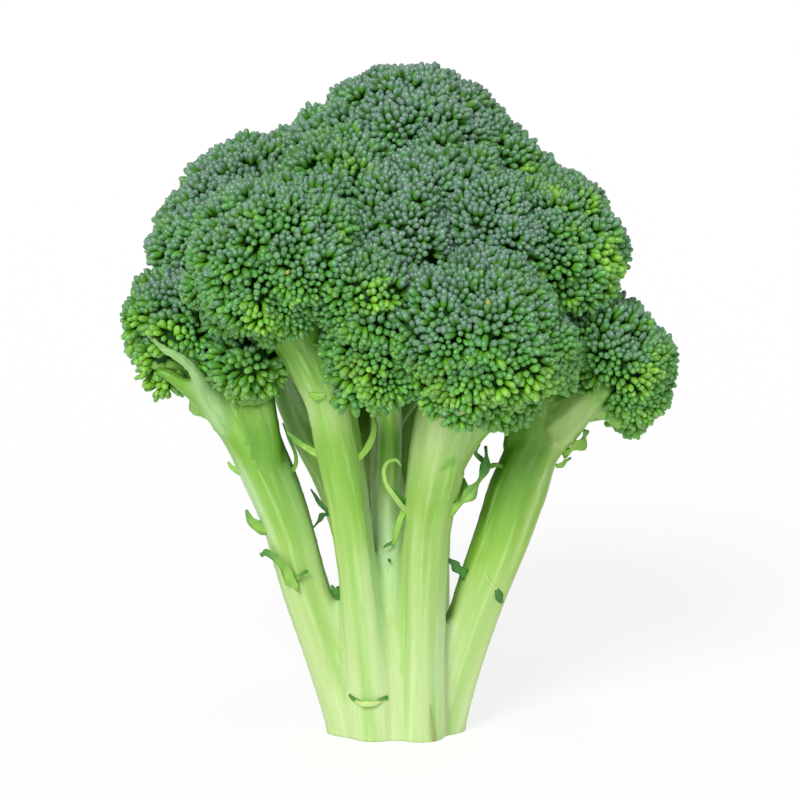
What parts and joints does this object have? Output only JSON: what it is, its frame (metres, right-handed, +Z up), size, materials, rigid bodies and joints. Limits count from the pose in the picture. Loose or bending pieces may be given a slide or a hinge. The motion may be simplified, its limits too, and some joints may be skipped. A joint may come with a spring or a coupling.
{
  "type": "broccoli head",
  "caption": "Fresh head of broccoli: a pale green branching stalk cut flat at the foot, carrying domed heads of tight dark green buds pressed into one crown.",
  "frame": {"origin": "middle of the flat cut at the foot of the stalk", "axes": "+Z up along the stalk, towards the crown; +Y away from the side with the long bare branches; +X to the right when seen from that side"},
  "size_m": [0.1602, 0.1291, 0.1922],
  "materials": {
    "stalk_flesh": null,
    "buds": null,
    "young_buds": null
  },
  "bodies": {
    "root": {"stalk": "stalk_flesh", "head_top": "buds", "head_top_right": "buds", "head_top_left": "buds", "head_shoulder_right": "buds", "head_upper_left": "buds", "head_mid_left": "buds", "head_low_left": "young_buds", "head_front_left": "buds", "head_front_mid": "young_buds", "head_front_low": "young_buds", "head_under_left": "young_buds", "head_inner_left": "buds", "head_inner_mid": "buds", "head_inner_top": "buds", "head_inner_right": "buds", "head_upper_right": "buds", "head_front_right": "buds", "head_front_side": "buds", "head_low_right": "young_buds", "head_back_mid": "buds", "head_back_left": "buds", "head_back_right": "buds", "head_back_low_left": "young_buds", "head_back_low_right": "young_buds", "head_side_left": "young_buds", "head_side_right": "young_buds"}
  },
  "joints": []
}
